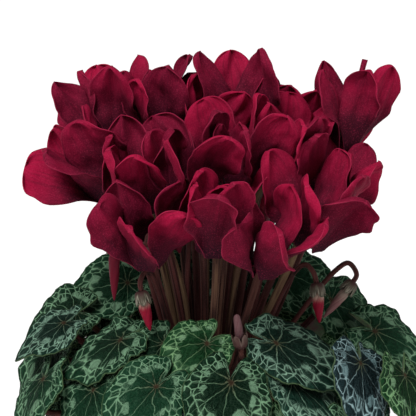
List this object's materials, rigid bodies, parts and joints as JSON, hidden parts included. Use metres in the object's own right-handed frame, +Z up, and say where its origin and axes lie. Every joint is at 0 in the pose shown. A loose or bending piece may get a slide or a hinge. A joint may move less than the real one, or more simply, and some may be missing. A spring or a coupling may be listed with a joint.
{
  "type": "potted cyclamen",
  "caption": "Flowering cyclamen in a plain round pot: crimson swept-back flowers on hooked maroon stalks over tiers of silver-netted heart leaves.",
  "frame": {"origin": "centre of the pot's flat underside", "axes": "+Z up; -Y towards the front of the plant as pictured; +X to the right seen from the front"},
  "size_m": [0.2686, 0.243, 0.3538],
  "materials": {
    "pot": "terracotta-coloured moulded pot, matt",
    "compost": "dark moist peat compost",
    "tuber": "brown corky skin",
    "stalks": "maroon-brown smooth stalks",
    "petals": "velvety dark crimson",
    "bud_petals": "furled crimson petals",
    "leaves": "dark green with a silver net"
  },
  "bodies": {
    "root": {"pot": "pot", "compost": "compost", "tuber": "tuber", "stalks": "stalks", "flower_01": "petals", "flower_02": "petals", "flower_03": "petals", "flower_04": "petals", "flower_05": "petals", "flower_06": "petals", "flower_07": "petals", "flower_08": "petals", "flower_09": "petals", "flower_10": "petals", "flower_11": "petals", "flower_12": "petals", "flower_13": "petals", "flower_14": "petals", "flower_15": "petals", "flower_16": "petals", "flower_17": "petals", "flower_18": "petals", "flower_19": "petals", "flower_20": "petals", "flower_21": "petals", "flower_22": "petals", "bud_01": "bud_petals", "bud_02": "bud_petals", "bud_03": "bud_petals", "bud_04": "bud_petals", "bud_05": "bud_petals", "leaf_01": "leaves", "leaf_02": "leaves", "leaf_03": "leaves", "leaf_04": "leaves", "leaf_05": "leaves", "leaf_06": "leaves", "leaf_07": "leaves", "leaf_08": "leaves", "leaf_09": "leaves", "leaf_10": "leaves", "leaf_11": "leaves", "leaf_12": "leaves", "leaf_13": "leaves", "leaf_14": "leaves", "leaf_15": "leaves", "leaf_16": "leaves", "leaf_17": "leaves", "leaf_18": "leaves", "leaf_19": "leaves", "leaf_20": "leaves", "leaf_21": "leaves", "leaf_22": "leaves", "leaf_23": "leaves", "leaf_24": "leaves", "leaf_25": "leaves", "leaf_26": "leaves", "leaf_27": "leaves", "leaf_28": "leaves", "leaf_29": "leaves"}
  },
  "joints": []
}
